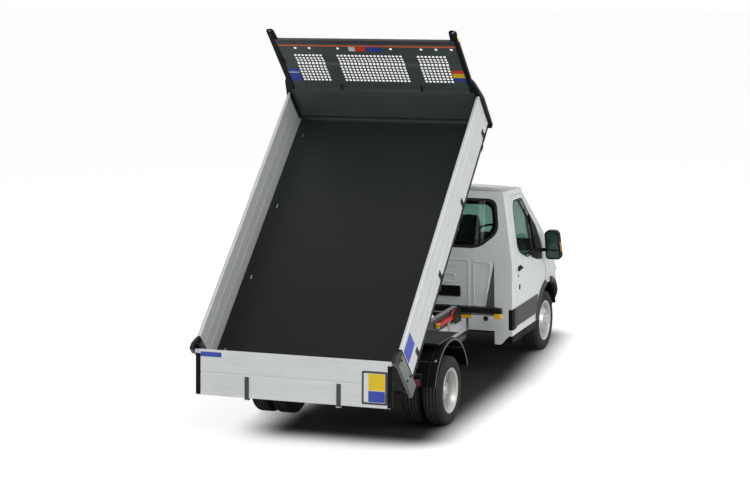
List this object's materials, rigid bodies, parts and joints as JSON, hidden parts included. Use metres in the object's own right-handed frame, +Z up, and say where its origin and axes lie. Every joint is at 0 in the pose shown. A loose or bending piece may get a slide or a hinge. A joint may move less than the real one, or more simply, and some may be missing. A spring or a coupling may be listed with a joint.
{
  "type": "dump truck",
  "caption": "Light tipper truck with a single cab, twin rear wheels and a steel bed raised on a telescopic ram, with drop sides, hung tailgate and a meshed headboard.",
  "frame": {"origin": "on the ground under the middle of the whole outline", "axes": "+X to the truck's left, -Y forwards, +Z up"},
  "size_m": [2.474, 6.1434, 3.907],
  "materials": {
    "cab_paint": "gloss",
    "chassis_paint": "satin",
    "black_paint": "satin",
    "red_paint": "satin",
    "cast": "matt",
    "black_plastic": "grained",
    "lamp_red": "gloss",
    "lamp_clear": "gloss",
    "bare_steel": "dull",
    "glass": "tinted",
    "seat_cloth": "woven",
    "bed_paint": "satin",
    "galvanised": "galvanised",
    "aluminium": "brushed",
    "chrome_steel": "polished",
    "tyre": "matt",
    "wheel_steel": "silver"
  },
  "bodies": {
    "root": {"chassis_rails": "chassis_paint", "cross_members": "chassis_paint", "subframe_rails": "black_paint", "subframe_beams": "black_paint", "rear_axle": "cast", "leaf_springs": "cast", "prop_shaft": "cast", "mudguards": "black_plastic", "rear_lamps": "lamp_red", "fuel_tank": "black_plastic", "hydraulic_pack": "black_paint", "exhaust_pipe": "bare_steel", "front_subframe": "black_paint", "engine_block": "cast", "wheel_arches": "black_plastic", "front_panel": "black_paint", "front_bumper": "black_plastic", "grille": "black_plastic", "headlamps": "lamp_clear", "front_wings": "cab_paint", "cab_sides": "cab_paint", "cab_roof": "cab_paint", "cab_floor": "black_paint", "cab_back": "cab_paint", "cab_glass": "glass", "dashboard": "black_plastic", "steering_wheel": "black_plastic", "seats": "seat_cloth", "side_steps": "black_plastic"},
    "bonnet": {"bonnet": "cab_paint"},
    "safety_prop": {"safety_prop": "red_paint"},
    "tailgate": {"tailgate": "aluminium"},
    "tipping_bed": {"bed_floor": "bed_paint", "headboard": "bed_paint", "corner_posts": "galvanised"},
    "ram_barrel": {"ram_barrel": "black_paint"},
    "ram_stage_1": {"ram_stage_1": "chrome_steel"},
    "ram_stage_2": {"ram_stage_2": "chrome_steel"},
    "ram_stage_3": {"ram_stage_3": "chrome_steel"},
    "left_door": {"left_door": "cab_paint", "left_door_glass": "glass", "left_mirror": "black_plastic"},
    "left_knuckle": {"left_knuckle": "cast"},
    "left_front_wheel": {"left_front_tyre": "tyre", "left_front_rim": "wheel_steel"},
    "left_rear_wheels": {"left_rear_tyres": "tyre", "left_rear_rims": "wheel_steel"},
    "left_dropside": {"left_dropside": "aluminium"},
    "right_door": {"right_door": "cab_paint", "right_door_glass": "glass", "right_mirror": "black_plastic"},
    "right_knuckle": {"right_knuckle": "cast"},
    "right_front_wheel": {"right_front_tyre": "tyre", "right_front_rim": "wheel_steel"},
    "right_rear_wheels": {"right_rear_tyres": "tyre", "right_rear_rims": "wheel_steel"},
    "right_dropside": {"right_dropside": "aluminium"}
  },
  "joints": [
    {"name": "bed_tip", "type": "hinge", "parent": "root", "child": "tipping_bed", "pos_m": [0, 2.32386, 0.828], "axis": [1, 0, 0], "range_deg": [0, 42]},
    {"name": "tailgate_swing", "type": "hinge", "parent": "tipping_bed", "child": "tailgate", "pos_m": [0, 3.03113, 0.96491], "axis": [1, 0, 0], "range_deg": [-46.18, 60]},
    {"name": "left_dropside_fold", "type": "hinge", "parent": "tipping_bed", "child": "left_dropside", "pos_m": [1.06, 2.42958, 0.94542], "axis": [0, 0.7431, -0.6691], "range_deg": [0, 180]},
    {"name": "right_dropside_fold", "type": "hinge", "parent": "tipping_bed", "child": "right_dropside", "pos_m": [-1.06, 2.42958, 0.94542], "axis": [0, -0.7431, 0.6691], "range_deg": [0, 180]},
    {"name": "left_steering", "type": "hinge", "parent": "root", "child": "left_knuckle", "pos_m": [0.73, -2.03914, 0.345], "axis": [0, 0, 1], "range_deg": [-32, 32]},
    {"name": "right_steering", "type": "hinge", "parent": "root", "child": "right_knuckle", "pos_m": [-0.73, -2.03914, 0.345], "axis": [0, 0, 1], "range_deg": [-32, 32]},
    {"name": "left_front_roll", "type": "hinge", "parent": "left_knuckle", "child": "left_front_wheel", "pos_m": [0.87, -2.03914, 0.345], "axis": [1, 0, 0], "continuous": true},
    {"name": "right_front_roll", "type": "hinge", "parent": "right_knuckle", "child": "right_front_wheel", "pos_m": [-0.87, -2.03914, 0.345], "axis": [1, 0, 0], "continuous": true},
    {"name": "left_rear_roll", "type": "hinge", "parent": "root", "child": "left_rear_wheels", "pos_m": [0.821, 1.46486, 0.345], "axis": [1, 0, 0], "continuous": true},
    {"name": "right_rear_roll", "type": "hinge", "parent": "root", "child": "right_rear_wheels", "pos_m": [-0.821, 1.46486, 0.345], "axis": [1, 0, 0], "continuous": true},
    {"name": "left_door_hinge", "type": "hinge", "parent": "root", "child": "left_door", "pos_m": [1.003, -1.95114, 0.9], "axis": [0, 0, -1], "range_deg": [0, 70]},
    {"name": "right_door_hinge", "type": "hinge", "parent": "root", "child": "right_door", "pos_m": [-1.003, -1.95114, 0.9], "axis": [0, 0, 1], "range_deg": [0, 70]},
    {"name": "bonnet_hinge", "type": "hinge", "parent": "root", "child": "bonnet", "pos_m": [0, -2.15714, 1.248], "axis": [-1, 0, 0], "range_deg": [0, 55]},
    {"name": "safety_prop_swing", "type": "hinge", "parent": "root", "child": "safety_prop", "pos_m": [0, 0.31485, 0.735], "axis": [1, 0, 0], "range_deg": [-65, 0]},
    {"name": "ram_foot", "type": "hinge", "parent": "root", "child": "ram_barrel", "pos_m": [0, 1.04486, 0.5], "axis": [1, 0, 0], "range_deg": [0, 24.33]},
    {"name": "ram_slide_1", "type": "slide", "parent": "ram_barrel", "child": "ram_stage_1", "axis": [0, 0.2403, 0.9707], "range_m": [-0.30717, 0]},
    {"name": "ram_slide_2", "type": "slide", "parent": "ram_stage_1", "child": "ram_stage_2", "axis": [0, 0.2403, 0.9707], "range_m": [-0.30717, 0]},
    {"name": "ram_slide_3", "type": "slide", "parent": "ram_stage_2", "child": "ram_stage_3", "axis": [0, 0.2403, 0.9707], "range_m": [-0.30717, 0]}
  ],
  "couplings": [
    {"joint": "ram_foot", "follows": "bed_tip", "ratio": 0.578},
    {"joint": "ram_slide_1", "follows": "bed_tip", "m_per_rad": -0.41835},
    {"joint": "ram_slide_2", "follows": "bed_tip", "m_per_rad": -0.41835},
    {"joint": "ram_slide_3", "follows": "bed_tip", "m_per_rad": -0.41835},
    {"joint": "right_steering", "follows": "left_steering", "ratio": 1}
  ]
}
